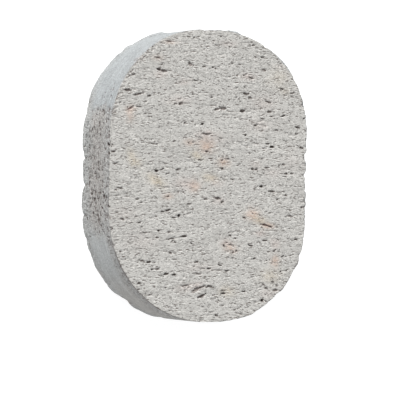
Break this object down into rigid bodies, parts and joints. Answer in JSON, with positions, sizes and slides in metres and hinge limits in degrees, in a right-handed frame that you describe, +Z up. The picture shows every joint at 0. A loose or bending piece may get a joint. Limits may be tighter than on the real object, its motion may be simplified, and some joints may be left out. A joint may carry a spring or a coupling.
{
  "type": "pumice stone",
  "caption": "Oblong pumice bath stone: a flat-faced slab of frothy rock with rounded ends, a ground wall and open bubbles drawn out across its width.",
  "frame": {"origin": "middle of the flat back face that the stone lies on, at the bottom centre of its bounding box", "axes": "+Z up, out of the front face; +Y along the stone's length; X across its width, the way its bubbles are drawn out"},
  "size_m": [0.0684, 0.096, 0.028],
  "materials": {
    "pumice": "matte"
  },
  "bodies": {
    "root": {"pumice_stone": "pumice"}
  },
  "joints": []
}
